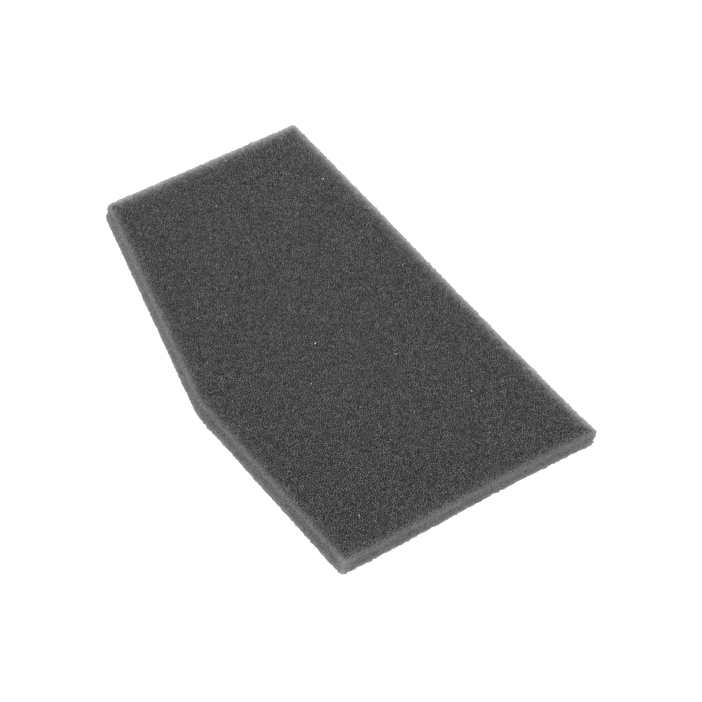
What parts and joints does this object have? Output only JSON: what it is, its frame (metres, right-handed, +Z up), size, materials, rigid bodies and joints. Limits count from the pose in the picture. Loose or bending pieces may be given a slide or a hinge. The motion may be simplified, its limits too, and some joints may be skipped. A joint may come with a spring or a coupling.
{
  "type": "foam filter pad",
  "caption": "Flat die-cut pad of dark open-cell foam that filters the water or air passing through it, with one long corner cut away on a slant.",
  "frame": {"origin": "on the flat underside, below the middle of the pad's rectangular envelope", "axes": "+X along the length towards the wide end, +Y across towards the long straight side, +Z up through the thickness"},
  "size_m": [0.236, 0.1554, 0.01],
  "materials": {
    "foam": "matte"
  },
  "bodies": {
    "root": {"foam_pad": "foam"}
  },
  "joints": []
}
